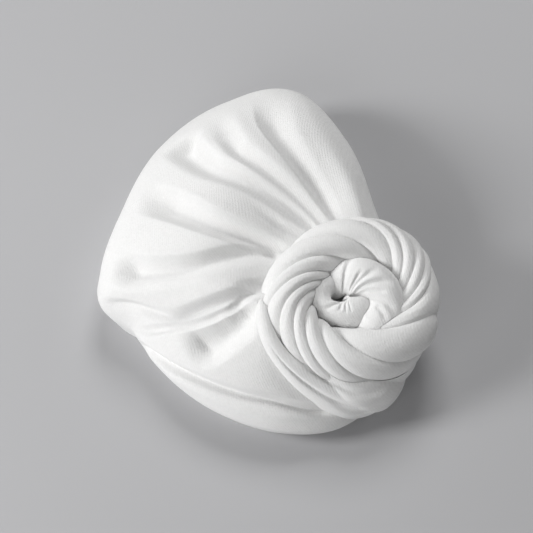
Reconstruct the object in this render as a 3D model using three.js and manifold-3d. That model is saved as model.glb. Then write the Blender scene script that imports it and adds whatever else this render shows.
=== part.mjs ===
import * as THREE from 'three';
import Module from 'manifold-3d';

// A baby's turban cap in soft brushed jersey, lying on its rim with the head opening down.
// The cloth of the cap is gathered at one point near the front. A twisted length of the same
// cloth is coiled over that point into a rosette, and its tail wraps under the coil.
// Millimetres, +Z up, the rosette at the front (-Y), the crown behind it (+Y).
// A bearing is an angle in degrees round the gather point, from the front, anticlockwise from above.

// Sizes of the cap.
const CAP_REACH = 155;
const CROWN_HEIGHT = 56;
const COLLAR_HEIGHT = 43;
const GATHER_HEIGHT = 28;
const CAP_WALL = 2;
const FOLD_DEPTH = 5;
const FOLD_WIDTH = 8;

// Sizes of the rosette's outer ring, a twisted tube that leans towards the front.
const RING_RADIUS = 30;
const RING_TUBE = 13.5;
const RING_LEAN = 13;
const RING_LEAN_BEARING = -12;
const RING_SINK = 9;
const STRAND_RISE = 2.4;

// Sizes of the coil and the tuck inside the ring, and of the wrap under it.
const HOLE_OFFSET = { side: -2, front: -1.5, up: 4 };
const COIL_RADIUS = 16;
const COIL_TUBE = 9.5;
const TUCK_RADIUS = 11;
const TUCK_TUBE = 8;
const WRAP_RADIUS = 42;
const WRAP_TUBE = 12;
const WRAP_HEIGHT = 18.5;
const WRAP_RISE = 11;

// Clearance between two pieces of cloth that lie against each other.
const GAP = 0.3;

// Meridians of the cap, one row for each bearing. reach is a share of CAP_REACH, collar of
// COLLAR_HEIGHT, the other heights of CROWN_HEIGHT, and rim a share of the row's own reach.
const CAP_SECTIONS = [
  { bearing: 0, reach: 0.219, collar: 0.395, crest: 0.25, shoulder: 0.214, bulge: 0.143, rim: 0.9 },
  { bearing: 30, reach: 0.213, collar: 0.442, crest: 0.286, shoulder: 0.232, bulge: 0.143, rim: 0.9 },
  { bearing: 60, reach: 0.232, collar: 0.628, crest: 0.464, shoulder: 0.375, bulge: 0.214, rim: 0.9 },
  { bearing: 90, reach: 0.258, collar: 0.721, crest: 0.571, shoulder: 0.482, bulge: 0.304, rim: 0.92 },
  { bearing: 115, reach: 0.335, collar: 0.791, crest: 0.679, shoulder: 0.571, bulge: 0.357, rim: 0.94 },
  { bearing: 128, reach: 0.455, collar: 0.86, crest: 0.786, shoulder: 0.661, bulge: 0.393, rim: 0.95 },
  { bearing: 139, reach: 0.72, collar: 0.93, crest: 0.893, shoulder: 0.732, bulge: 0.411, rim: 0.955 },
  { bearing: 150, reach: 0.987, collar: 0.977, crest: 0.964, shoulder: 0.75, bulge: 0.411, rim: 0.96 },
  { bearing: 165, reach: 1.01, collar: 1, crest: 1, shoulder: 0.75, bulge: 0.393, rim: 0.96 },
  { bearing: 182, reach: 0.955, collar: 1, crest: 1, shoulder: 0.75, bulge: 0.393, rim: 0.96 },
  { bearing: 200, reach: 0.865, collar: 0.977, crest: 0.964, shoulder: 0.732, bulge: 0.393, rim: 0.95 },
  { bearing: 217, reach: 0.822, collar: 0.953, crest: 0.893, shoulder: 0.679, bulge: 0.375, rim: 0.94 },
  { bearing: 225, reach: 0.79, collar: 0.93, crest: 0.857, shoulder: 0.643, bulge: 0.339, rim: 0.93 },
  { bearing: 230, reach: 0.702, collar: 0.919, crest: 0.832, shoulder: 0.608, bulge: 0.304, rim: 0.935 },
  { bearing: 234, reach: 0.668, collar: 0.907, crest: 0.804, shoulder: 0.571, bulge: 0.268, rim: 0.94 },
  { bearing: 250, reach: 0.582, collar: 0.86, crest: 0.732, shoulder: 0.536, bulge: 0.25, rim: 0.93 },
  { bearing: 270, reach: 0.495, collar: 0.814, crest: 0.661, shoulder: 0.482, bulge: 0.232, rim: 0.92 },
  { bearing: 290, reach: 0.427, collar: 0.698, crest: 0.518, shoulder: 0.393, bulge: 0.214, rim: 0.91 },
  { bearing: 310, reach: 0.362, collar: 0.558, crest: 0.393, shoulder: 0.304, bulge: 0.179, rim: 0.9 },
  { bearing: 322, reach: 0.315, collar: 0.465, crest: 0.304, shoulder: 0.25, bulge: 0.161, rim: 0.9 },
  { bearing: 337, reach: 0.255, collar: 0.395, crest: 0.25, shoulder: 0.214, bulge: 0.143, rim: 0.9 },
];

// How far along its reach each height of a meridian lies.
const COLLAR_PLACE = 0.26;
const CREST_PLACE = 0.58;
const SHOULDER_PLACE = 0.88;

// Folds that fan out from the rosette. Each runs through three places: a bearing, and a share of
// the way from the gather point to the rim. depth is a share of FOLD_DEPTH and the widths, beside
// the rosette and at the far end, of FOLD_WIDTH. lean widens one side, rise and fall are the
// shares of the length over which the fold begins and ends. A negative depth is a ridge.
const FOLDS = [
  {
    from: [147, 0.2], past: [161, 0.46], to: [156, 0.76],
    depth: 1, near: 0.33, far: 1.1, lean: 0.45, rise: 0.12, fall: 0.25,
  },
  {
    from: [156, 0.2], past: [171, 0.42], to: [169, 0.74],
    depth: 0.64, near: 0.3, far: 0.94, lean: 0.2, rise: 0.12, fall: 0.35,
  },
  {
    from: [166, 0.2], past: [180, 0.42], to: [183, 0.7],
    depth: 0.64, near: 0.3, far: 1.06, lean: 0, rise: 0.12, fall: 0.35,
  },
  {
    from: [175, 0.2], past: [186, 0.32], to: [190, 0.46],
    depth: 0.48, near: 0.3, far: 0.5, lean: 0.2, rise: 0.15, fall: 0.6,
  },
  {
    from: [188, 0.2], past: [202, 0.46], to: [200, 0.76],
    depth: 0.72, near: 0.33, far: 0.88, lean: 0.2, rise: 0.12, fall: 0.3,
  },
  {
    from: [200, 0.2], past: [216, 0.48], to: [219, 0.86],
    depth: 0.76, near: 0.38, far: 1.12, lean: 0, rise: 0.12, fall: 0.3,
  },
  {
    from: [219, 0.22], past: [238, 0.6], to: [227, 0.9],
    depth: 0.8, near: 0.33, far: 0.63, lean: 0.2, rise: 0.12, fall: 0.12,
  },
  {
    from: [229, 0.25], past: [244, 0.56], to: [235, 0.86],
    depth: 0.32, near: 0.2, far: 0.33, lean: 0.4, rise: 0.12, fall: 0.3,
  },
  {
    from: [242, 0.28], past: [254, 0.52], to: [250, 0.72],
    depth: 1, near: 0.63, far: 1, lean: -0.4, rise: 0.1, fall: 0.6,
  },
  {
    from: [312, 0.7], past: [270, 0.7], to: [236, 0.88],
    depth: 0.7, near: 0.38, far: 0.44, lean: 0.3, rise: 0.25, fall: 0.2,
  },
  {
    from: [228, 0.76], past: [232, 0.88], to: [234, 1],
    depth: 0.8, near: 0.5, far: 0.75, lean: 0, rise: 0.3, fall: 0,
  },
  {
    from: [213, 0.35], past: [224, 0.66], to: [223, 0.96],
    depth: -0.44, near: 0.63, far: 0.88, lean: 0, rise: 0.3, fall: 0.1,
  },
];

// The ring's centre line and tube, shares of RING_RADIUS and RING_TUBE.
const RING_SECTIONS = [
  { bearing: 0, radius: 0.915, tube: 1.007 },
  { bearing: 20, radius: 0.93, tube: 0.978 },
  { bearing: 45, radius: 0.98, tube: 0.963 },
  { bearing: 70, radius: 1.035, tube: 0.963 },
  { bearing: 90, radius: 1.12, tube: 0.978 },
  { bearing: 110, radius: 1.14, tube: 0.978 },
  { bearing: 130, radius: 1.085, tube: 0.985 },
  { bearing: 150, radius: 1.01, tube: 0.993 },
  { bearing: 175, radius: 0.94, tube: 0.963 },
  { bearing: 200, radius: 0.927, tube: 0.963 },
  { bearing: 220, radius: 0.973, tube: 0.978 },
  { bearing: 245, radius: 1.06, tube: 1 },
  { bearing: 270, radius: 1.05, tube: 0.98 },
  { bearing: 300, radius: 0.99, tube: 0.98 },
  { bearing: 330, radius: 0.925, tube: 1.022 },
];

// Creases between the strands of a tube, by the bearing where each crosses the tube's outer side,
// its top and its inner side. rise is the height of the strand that follows, of STRAND_RISE.
const RING_CREASES = [
  { outer: 15, top: -42, inner: -75, rise: 1.1 },
  { outer: 42, top: 17, inner: -38, rise: 0.75 },
  { outer: 90, top: 43, inner: 3, rise: 0.67 },
  { outer: 98, top: 59, inner: 22, rise: 0.67 },
  { outer: 122, top: 77, inner: 40, rise: 0.75 },
  { outer: 145, top: 98, inner: 60, rise: 0.75 },
  { outer: 160, top: 114, inner: 83, rise: 0.9 },
  { outer: 192, top: 150, inner: 105, rise: 1.1 },
  { outer: 243, top: 190, inner: 145, rise: 0.75 },
  { outer: 252, top: 215, inner: 180, rise: 0.75 },
  { outer: 280, top: 235, inner: 198, rise: 0.75 },
  { outer: 300, top: 254, inner: 215, rise: 0.75 },
  { outer: 318, top: 270, inner: 242, rise: 0.83 },
  { outer: 338, top: 290, inner: 265, rise: 1 },
];

// The coil inside the ring: centre line and tube as shares of COIL_RADIUS and COIL_TUBE, and how
// far the centre line lies above the hole's own plane as a share of COIL_TUBE.
const COIL_SECTIONS = [
  { bearing: -25, radius: 1.06, tube: 0.63, lift: -0.1 },
  { bearing: 0, radius: 1.12, tube: 0.89, lift: 0 },
  { bearing: 30, radius: 1.16, tube: 0.97, lift: 0.13 },
  { bearing: 60, radius: 1.06, tube: 1.03, lift: 0.16 },
  { bearing: 90, radius: 0.91, tube: 1.1, lift: 0.1 },
  { bearing: 120, radius: 0.81, tube: 1.05, lift: 0 },
  { bearing: 150, radius: 0.75, tube: 0.89, lift: -0.16 },
  { bearing: 180, radius: 0.66, tube: 0.68, lift: -0.42 },
  { bearing: 205, radius: 0.63, tube: 0.42, lift: -0.74 },
];
const COIL_CREASES = [
  { outer: -25, top: -25, inner: -25, rise: 0.4 },
  { outer: 12, top: 8, inner: 2, rise: 0.33 },
  { outer: 48, top: 43, inner: 38, rise: 0.42 },
  { outer: 76, top: 66, inner: 55, rise: 0.67 },
  { outer: 112, top: 106, inner: 97, rise: 0.67 },
  { outer: 134, top: 134, inner: 140, rise: 0.5 },
  { outer: 170, top: 170, inner: 170, rise: 0.42 },
  { outer: 205, top: 205, inner: 205, rise: 0 },
];

// The tucked end that fills the middle, in the same columns, shares of TUCK_RADIUS and TUCK_TUBE.
const TUCK_SECTIONS = [
  { bearing: 150, radius: 1, tube: 0.5, lift: -0.38 },
  { bearing: 180, radius: 1.14, tube: 0.69, lift: -0.31 },
  { bearing: 205, radius: 1.23, tube: 0.75, lift: -0.25 },
  { bearing: 230, radius: 1.23, tube: 0.75, lift: -0.19 },
  { bearing: 255, radius: 1.02, tube: 0.85, lift: -0.17 },
  { bearing: 280, radius: 0.82, tube: 0.94, lift: -0.15 },
  { bearing: 305, radius: 0.72, tube: 1, lift: -0.15 },
  { bearing: 330, radius: 0.69, tube: 1, lift: -0.2 },
  { bearing: 355, radius: 0.7, tube: 0.94, lift: -0.33 },
  { bearing: 380, radius: 0.82, tube: 0.75, lift: -0.5 },
];
const TUCK_CREASES = [
  { outer: 150, top: 150, inner: 150, rise: 0.25 },
  { outer: 262, top: 262, inner: 262, rise: 0.5 },
  { outer: 288, top: 285, inner: 282, rise: 0.33 },
  { outer: 312, top: 308, inner: 306, rise: 0.42 },
  { outer: 380, top: 380, inner: 380, rise: 0 },
];

// The tail that wraps under the ring at the front, shares of WRAP_RADIUS, WRAP_TUBE and WRAP_RISE.
const WRAP_SECTIONS = [
  { bearing: 232, radius: 1.02, tube: 0.18, lift: 2.15 },
  { bearing: 250, radius: 1.06, tube: 0.28, lift: 2.1 },
  { bearing: 265, radius: 1.105, tube: 0.3, lift: 1.85 },
  { bearing: 280, radius: 1.085, tube: 0.42, lift: 1.3 },
  { bearing: 296, radius: 1.01, tube: 0.7, lift: 0.55 },
  { bearing: 309, radius: 0.955, tube: 0.95, lift: 0.05 },
  { bearing: 320, radius: 0.955, tube: 0.95, lift: -0.14 },
  { bearing: 336, radius: 0.855, tube: 1, lift: -0.27 },
  { bearing: 356, radius: 0.7, tube: 0.96, lift: -0.18 },
  { bearing: 375, radius: 0.62, tube: 0.92, lift: -0.09 },
  { bearing: 400, radius: 0.59, tube: 0.67, lift: 0 },
];
const WRAP_CREASES = [
  { outer: 232, top: 232, inner: 232, rise: 0.3 },
  { outer: 327, top: 297, inner: 270, rise: 0.92 },
  { outer: 356, top: 328, inner: 300, rise: 0.67 },
  { outer: 400, top: 400, inner: 400, rise: 0 },
];

// Fineness of the faceted skins: the cap's columns by bearing, and a tube's columns and sides.
const COLUMN_STEPS = [
  { until: 132, step: 13 },
  { until: 262, step: 2.9 },
  { until: 322, step: 7.5 },
  { until: 360, step: 13 },
];
const CAP_ROWS = 17;
const RING_STEPS = 70;
const RING_TWIST_STEPS = 38;
const TUBE_SIDES = 14;
const CRESCENT_STEP = 7.5;
const FOLD_STEPS = 20;

// Angles round a tube's section, 0 on its outer side and 90 on top: where a crease's table places
// it, and between which its strands show.
const TOP_ANGLE = 90;
const INNER_ANGLE = 150;
const SHOWN = { from: -40, to: 190 };
const SHOWN_EDGE = 45;
const TUBE_END_SHARE = 0.09;

const MERIDIAN_END = 5;
const RIM_BLEND_START = 4.5;
const PROBE = 0.01;

const UP = new THREE.Vector3(0, 0, 1);
const FRONT = new THREE.Vector3(0, -1, 0);

const knit = new THREE.MeshStandardMaterial({ color: 0xf1efed, roughness: 0.95, metalness: 0 });

function radians(degrees) {
  return THREE.MathUtils.degToRad(degrees);
}

// The level direction at a bearing.
function outward(bearing) {
  return new THREE.Vector3(Math.sin(radians(bearing)), -Math.cos(radians(bearing)), 0);
}

// One column of a table at a bearing: a smooth curve through its rows, whose angles are in `key`.
function follow(rows, column, bearing, closed, key = 'bearing') {
  const count = rows.length;
  const first = rows[0][key];
  const at = closed ? THREE.MathUtils.euclideanModulo(bearing - first, 360) + first : bearing;
  const place = (index) => {
    const turn = closed ? Math.floor(index / count) : 0;
    const row = rows[closed ? index - turn * count : THREE.MathUtils.clamp(index, 0, count - 1)];
    return { angle: row[key] + 360 * turn, value: row[column] };
  };
  const last = closed ? count - 1 : count - 2;
  let index = 0;
  while (index < last && place(index + 1).angle <= at) {
    index += 1;
  }
  const slope = (i) => (place(i + 1).value - place(i - 1).value) / (place(i + 1).angle - place(i - 1).angle);
  const start = place(index);
  const end = place(index + 1);
  const span = end.angle - start.angle;
  const t = (at - start.angle) / span;
  const bend = t * t * (3 - 2 * t);
  const leave = span * slope(index) * t * (1 - t) * (1 - t);
  const arrive = span * slope(index + 1) * t * t * (t - 1);
  return start.value + (end.value - start.value) * bend + leave + arrive;
}

// The bare cap without folds: height and distance from the gather point's axis along one
// meridian, where `along` runs from 0 at the gather point to MERIDIAN_END at the rim.
function meridian(bearing) {
  const value = (column) => follow(CAP_SECTIONS, column, bearing, true);
  const reach = CAP_REACH * value('reach');
  const collar = new THREE.Vector2(reach * COLLAR_PLACE, COLLAR_HEIGHT * value('collar'));
  const points = [
    new THREE.Vector2(-collar.x, collar.y),
    new THREE.Vector2(0, GATHER_HEIGHT),
    collar,
    new THREE.Vector2(reach * CREST_PLACE, CROWN_HEIGHT * value('crest')),
    new THREE.Vector2(reach * SHOULDER_PLACE, CROWN_HEIGHT * value('shoulder')),
    new THREE.Vector2(reach, CROWN_HEIGHT * value('bulge')),
    new THREE.Vector2(reach * value('rim'), 0),
  ];
  const end = points[points.length - 1].clone().multiplyScalar(2).sub(points[points.length - 2]);
  points.push(end);
  return points;
}

function onMeridian(points, along) {
  const piece = THREE.MathUtils.clamp(Math.floor(along), 0, MERIDIAN_END - 1);
  const t = along - piece;
  const curve = (axis) => {
    const [a, b, c, d] = points.slice(piece, piece + 4).map((point) => point[axis]);
    const linear = c - a;
    const square = 2 * a - 5 * b + 4 * c - d;
    const cube = 3 * b - 3 * c + d - a;
    return 0.5 * (2 * b + linear * t + square * t * t + cube * t * t * t);
  };
  return new THREE.Vector2(curve('x'), curve('y'));
}

function capBase(bearing, along) {
  const flat = onMeridian(meridian(bearing), along);
  return outward(bearing).multiplyScalar(flat.x).addScaledVector(UP, flat.y);
}

// Which way the bare cap faces. At the rim this turns level, so the rim stays flat.
function capFacing(bearing, along) {
  if (along === 0) {
    return UP.clone();
  }
  const round = capBase(bearing + 1, along).sub(capBase(bearing - 1, along));
  const down = capBase(bearing, along + PROBE).sub(capBase(bearing, along - PROBE));
  const facing = down.cross(round).normalize();
  const level = THREE.MathUtils.smoothstep(along, RIM_BLEND_START, MERIDIAN_END);
  return facing.lerp(outward(bearing), level).normalize();
}

// How far the folds push the cloth out at a bearing and a share of the meridian's length.
function foldHeight(bearing, share, distance, length) {
  let height = 0;
  for (const fold of FOLDS) {
    let nearest = Infinity;
    let nearestAlong = 0;
    let side = 1;
    for (let step = 0; step < FOLD_STEPS; step += 1) {
      const here = foldPoint(fold, step / FOLD_STEPS);
      const next = foldPoint(fold, (step + 1) / FOLD_STEPS);
      const turn = THREE.MathUtils.euclideanModulo(bearing - here.x + 180, 360) - 180;
      const from = new THREE.Vector2(radians(turn) * distance, (share - here.y) * length);
      const run = new THREE.Vector2(radians(next.x - here.x) * distance, (next.y - here.y) * length);
      const part = THREE.MathUtils.clamp(from.dot(run) / run.lengthSq(), 0, 1);
      const away = from.clone().addScaledVector(run, -part);
      if (away.length() < nearest) {
        nearest = away.length();
        nearestAlong = (step + part) / FOLD_STEPS;
        side = Math.sign(run.cross(from));
      }
    }
    const width = FOLD_WIDTH * THREE.MathUtils.lerp(fold.near, fold.far, nearestAlong);
    const reach = nearest / (width * (1 + side * fold.lean));
    const begins = THREE.MathUtils.smoothstep(nearestAlong, 0, fold.rise);
    const ends = fold.fall > 0 ? 1 - THREE.MathUtils.smoothstep(nearestAlong, 1 - fold.fall, 1) : 1;
    height -= FOLD_DEPTH * fold.depth * begins * ends * Math.exp(-Math.pow(reach, 1.5));
  }
  return height;
}

// A fold's centre line, an even curve through its three places: x is the bearing, y the share.
function foldPoint(fold, t) {
  const start = (1 - t) * (1 - 2 * t);
  const middle = 4 * t * (1 - t);
  const end = t * (2 * t - 1);
  const bearing = fold.from[0] * start + fold.past[0] * middle + fold.to[0] * end;
  const share = fold.from[1] * start + fold.past[1] * middle + fold.to[1] * end;
  return new THREE.Vector2(bearing, share);
}

// Bearings of the cap's columns, closer together where the folds are.
function columnBearings() {
  const bearings = [];
  let start = 0;
  for (const { until, step } of COLUMN_STEPS) {
    const count = Math.round((until - start) / step);
    for (let index = 0; index < count; index += 1) {
      bearings.push(start + ((until - start) * index) / count);
    }
    start = until;
  }
  return bearings;
}

// The folded cap from the gather point to the rim, moved out by `offset`: one loop for each row.
function capLoops(offset) {
  const rows = Array.from({ length: CAP_ROWS }, (_, row) => ((row + 1) * MERIDIAN_END) / CAP_ROWS);
  const columns = columnBearings().map((bearing) => {
    const points = meridian(bearing);
    const flat = [0, ...rows].map((along) => onMeridian(points, along));
    const lengths = [0];
    for (let row = 1; row < flat.length; row += 1) {
      lengths.push(lengths[row - 1] + flat[row].distanceTo(flat[row - 1]));
    }
    const length = lengths[lengths.length - 1];
    return rows.map((along, row) => {
      const fold = foldHeight(bearing, lengths[row + 1] / length, flat[row + 1].x, length);
      return capBase(bearing, along).addScaledVector(capFacing(bearing, along), fold + offset);
    });
  });
  return rows.map((_, row) => columns.map((column) => column[row]));
}

// A closed skin over a run of loops. An open run is closed by a point at each end. A closed run of
// helical loops has each loop end at the start of the one `shift` places on.
function skin(loops, ends, shift = 0) {
  const sides = loops[0].length;
  const points = loops.flat();
  const faces = [];
  const at = (loop, side) => {
    const place = side < sides ? loop : loop + shift;
    return THREE.MathUtils.euclideanModulo(place, loops.length) * sides + (side % sides);
  };
  const bands = ends ? loops.length - 1 : loops.length;
  for (let loop = 0; loop < bands; loop += 1) {
    for (let side = 0; side < sides; side += 1) {
      faces.push(at(loop, side), at(loop + 1, side), at(loop + 1, side + 1));
      faces.push(at(loop, side), at(loop + 1, side + 1), at(loop, side + 1));
    }
  }
  if (ends) {
    const [start, finish] = [points.length, points.length + 1];
    points.push(ends[0], ends[1]);
    for (let side = 0; side < sides; side += 1) {
      faces.push(start, at(0, side), at(0, side + 1));
      faces.push(finish, at(loops.length - 1, side + 1), at(loops.length - 1, side));
    }
  }
  return { points, faces };
}

// The cap is a shell: down the outside to the rim, and back up the inside.
function capShell() {
  const outside = capLoops(0);
  const inside = capLoops(-CAP_WALL).reverse();
  const top = new THREE.Vector3(0, 0, GATHER_HEIGHT);
  return skin([...outside, ...inside], [top, new THREE.Vector3(0, 0, GATHER_HEIGHT - CAP_WALL)]);
}

// The cap with its hollow filled and grown by the clearance, for cutting what lies on it.
function capFilled() {
  const top = new THREE.Vector3(0, 0, GATHER_HEIGHT + GAP);
  return skin(capLoops(GAP), [top, new THREE.Vector3(0, 0, 0)]);
}

// A frame for a leaning ring: its axis, and its own front and side.
function leaningFrame(lean, leanBearing) {
  const axis = outward(leanBearing).multiplyScalar(Math.sin(radians(lean)));
  axis.addScaledVector(UP, Math.cos(radians(lean)));
  const front = FRONT.clone().addScaledVector(axis, -FRONT.dot(axis)).normalize();
  return { axis, front, side: axis.clone().cross(front) };
}

function inFrame(frame, bearing) {
  const direction = frame.front.clone().multiplyScalar(Math.cos(radians(bearing)));
  return direction.addScaledVector(frame.side, Math.sin(radians(bearing)));
}

// The bearing of a crease at an angle round the tube's section.
function creaseBearing(crease, angle) {
  if (angle < 0) {
    return crease.outer + ((crease.top - crease.outer) * angle) / TOP_ANGLE;
  }
  if (angle > INNER_ANGLE) {
    return crease.inner + ((crease.inner - crease.top) * (angle - INNER_ANGLE)) / (INNER_ANGLE - TOP_ANGLE);
  }
  const outer = ((angle - TOP_ANGLE) * (angle - INNER_ANGLE)) / (TOP_ANGLE * INNER_ANGLE);
  const top = (angle * (INNER_ANGLE - angle)) / (TOP_ANGLE * (INNER_ANGLE - TOP_ANGLE));
  return crease.outer * outer + crease.top * top + crease.inner * (1 - outer - top);
}

// How far the strands of a twisted tube stand up at a bearing and an angle round its section.
function strandHeight(creases, closed, bearing, angle) {
  const lines = creases.map((crease) => creaseBearing(crease, angle));
  if (closed) {
    lines.push(lines[0] + 360);
  }
  const turn = closed ? THREE.MathUtils.euclideanModulo(bearing - lines[0], 360) + lines[0] : bearing;
  const index = lines.findIndex((line, strand) => strand > 0 && turn < line) - 1;
  if (index < 0) {
    return 0;
  }
  const across = THREE.MathUtils.clamp((turn - lines[index]) / (lines[index + 1] - lines[index]), 0, 1);
  const outside = THREE.MathUtils.smoothstep(angle, SHOWN.from - SHOWN_EDGE, SHOWN.from);
  const inside = 1 - THREE.MathUtils.smoothstep(angle, SHOWN.to, SHOWN.to + SHOWN_EDGE);
  return STRAND_RISE * creases[index].rise * Math.sin(Math.PI * across) ** 2 * outside * inside;
}

// The point at an angle round a tube's section, which stands on the line `outside` from `centre`.
function sectionPoint(centre, outside, axis, radius, angle) {
  const point = centre.clone().addScaledVector(outside, radius * Math.cos(radians(angle)));
  return point.addScaledVector(axis, radius * Math.sin(radians(angle)));
}

const ringFrame = leaningFrame(RING_LEAN, RING_LEAN_BEARING);
const ringCentre = new THREE.Vector3(0, 0, COLLAR_HEIGHT - RING_SINK);

// The ring is a closed tube. Its loops run helically, as its strands do, so each loop ends where
// another begins. `grow` adds the clearance that its neighbours keep.
function ring(grow) {
  const loops = Array.from({ length: RING_STEPS }, (_, step) =>
    Array.from({ length: TUBE_SIDES }, (_, side) => {
      const angle = SHOWN.to - 360 + (360 * side) / TUBE_SIDES;
      const twisted = (RING_TWIST_STEPS * (angle - TOP_ANGLE)) / 360;
      const bearing = (360 * (step - twisted)) / RING_STEPS;
      const outside = inFrame(ringFrame, bearing);
      const radius = RING_RADIUS * follow(RING_SECTIONS, 'radius', bearing, true);
      const tube = RING_TUBE * follow(RING_SECTIONS, 'tube', bearing, true) - STRAND_RISE / 2 + grow;
      const strand = strandHeight(RING_CREASES, true, bearing, angle);
      const centre = ringCentre.clone().addScaledVector(outside, radius);
      return sectionPoint(centre, outside, ringFrame.axis, tube + strand, angle);
    }),
  );
  return skin(loops, null, -RING_TWIST_STEPS);
}

// A tube with rounded ends that follows its table from the first bearing to the last.
function crescent({ sections, creases, frame, centre, radius, tube, lift, grow }) {
  const first = sections[0].bearing;
  const sweep = sections[sections.length - 1].bearing - first;
  const steps = Math.round(sweep / CRESCENT_STEP);
  const loops = Array.from({ length: steps + 1 }, (_, step) => {
    const bearing = first + (sweep * (1 - Math.cos((Math.PI * step) / steps))) / 2;
    const value = (column) => follow(sections, column, bearing, false);
    const outside = inFrame(frame, bearing);
    const middle = centre.clone().addScaledVector(outside, radius * value('radius'));
    middle.addScaledVector(frame.axis, lift * value('lift'));
    const fromEnd = Math.min(bearing - first, first + sweep - bearing) / (TUBE_END_SHARE * sweep);
    const round = Math.sqrt(1 - (1 - THREE.MathUtils.clamp(fromEnd, 0, 1)) ** 2);
    return Array.from({ length: TUBE_SIDES }, (_, side) => {
      const angle = SHOWN.to - (360 * side) / TUBE_SIDES;
      const thickness = tube * value('tube') + strandHeight(creases, false, bearing, angle);
      return sectionPoint(middle, outside, frame.axis, thickness * round + grow, angle);
    });
  });
  const ends = [loops[0], loops[steps]].map((loop) => centroid(loop));
  return skin(loops.slice(1, steps), ends);
}

function centroid(points) {
  const sum = new THREE.Vector3();
  points.forEach((point) => sum.add(point));
  return sum.divideScalar(points.length);
}

const holeCentre = ringCentre.clone();
holeCentre.addScaledVector(ringFrame.side, HOLE_OFFSET.side);
holeCentre.addScaledVector(ringFrame.front, HOLE_OFFSET.front);
holeCentre.addScaledVector(ringFrame.axis, HOLE_OFFSET.up);

function coil(grow) {
  return crescent({
    sections: COIL_SECTIONS,
    creases: COIL_CREASES,
    frame: ringFrame,
    centre: holeCentre,
    radius: COIL_RADIUS,
    tube: COIL_TUBE,
    lift: COIL_TUBE,
    grow,
  });
}

function tuck(grow) {
  return crescent({
    sections: TUCK_SECTIONS,
    creases: TUCK_CREASES,
    frame: ringFrame,
    centre: holeCentre,
    radius: TUCK_RADIUS,
    tube: TUCK_TUBE,
    lift: TUCK_TUBE,
    grow,
  });
}

function wrap(grow) {
  return crescent({
    sections: WRAP_SECTIONS,
    creases: WRAP_CREASES,
    frame: leaningFrame(0, 0),
    centre: new THREE.Vector3(0, 0, WRAP_HEIGHT),
    radius: WRAP_RADIUS,
    tube: WRAP_TUBE,
    lift: WRAP_RISE,
    grow,
  });
}

const wasm = await Module();
wasm.setup();

function solid({ points, faces }) {
  const vertProperties = new Float32Array(points.flatMap((point) => [point.x, point.y, point.z]));
  let volume = 0;
  for (let index = 0; index < faces.length; index += 3) {
    const [a, b, c] = faces.slice(index, index + 3).map((face) => points[face]);
    volume += a.dot(b.clone().cross(c));
  }
  const triVerts = new Uint32Array(volume > 0 ? faces : faces.slice().reverse());
  return new wasm.Manifold(new wasm.Mesh({ numProp: 3, vertProperties, triVerts }));
}

// The main body of a cut shape, without the specks that two nearly touching surfaces leave.
function mainBody(shape) {
  return shape.decompose().reduce((largest, body) => (body.volume() > largest.volume() ? body : largest));
}

function piece(name, shape) {
  const { vertProperties, triVerts, numProp } = mainBody(shape).getMesh();
  const positions = new Float32Array((vertProperties.length / numProp) * 3);
  for (let vertex = 0; vertex < positions.length / 3; vertex += 1) {
    positions.set(vertProperties.slice(vertex * numProp, vertex * numProp + 3), vertex * 3);
  }
  const geometry = new THREE.BufferGeometry();
  geometry.setAttribute('position', new THREE.BufferAttribute(positions, 3));
  geometry.setIndex(new THREE.BufferAttribute(new Uint32Array(triVerts), 1));
  geometry.computeVertexNormals();
  const mesh = new THREE.Mesh(geometry, knit);
  mesh.name = name;
  return mesh;
}

// Each piece gives way to the ones it lies against: the ring to the cap, the coil and the wrap to
// the ring, and the tuck to the coil.
const underCap = solid(capFilled());
const aroundRing = solid(ring(GAP));
const group = new THREE.Group();
group.add(
  piece('cap', solid(capShell())),
  piece('outer_coil', solid(ring(0)).subtract(underCap)),
  piece('inner_coil', solid(coil(0)).subtract(aroundRing).subtract(underCap)),
  piece('centre_tuck', solid(tuck(0)).subtract(solid(coil(GAP))).subtract(aroundRing).subtract(underCap)),
  piece('base_wrap', solid(wrap(0)).subtract(aroundRing).subtract(underCap)),
);

// The origin is the middle of the whole cap's footprint, on the floor.
const box = new THREE.Box3().setFromObject(group);
const middle = box.getCenter(new THREE.Vector3());
group.position.set(-middle.x, -middle.y, -box.min.z);

export default group;
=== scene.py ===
import math

import bmesh
import bpy
import numpy as np
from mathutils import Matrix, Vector


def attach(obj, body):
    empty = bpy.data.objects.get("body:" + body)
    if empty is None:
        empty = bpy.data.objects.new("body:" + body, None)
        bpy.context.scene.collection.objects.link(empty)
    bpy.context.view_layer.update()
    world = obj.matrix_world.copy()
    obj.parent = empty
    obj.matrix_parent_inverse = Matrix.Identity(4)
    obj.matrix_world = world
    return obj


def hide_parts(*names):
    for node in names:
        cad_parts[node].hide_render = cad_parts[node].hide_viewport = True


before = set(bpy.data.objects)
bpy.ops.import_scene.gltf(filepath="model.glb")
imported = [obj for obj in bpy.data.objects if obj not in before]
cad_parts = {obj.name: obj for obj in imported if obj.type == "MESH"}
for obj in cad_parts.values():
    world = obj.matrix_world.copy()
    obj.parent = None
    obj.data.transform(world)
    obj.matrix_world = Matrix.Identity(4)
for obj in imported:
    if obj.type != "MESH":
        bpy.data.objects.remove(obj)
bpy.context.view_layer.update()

# The cap: a baby's turban cap in white brushed jersey, one soft wall of cloth that lies on its
# rim with the head opening down. The cloth is gathered at one point near the front, where the
# rosette is sewn on, and its folds fan out from there.

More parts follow.
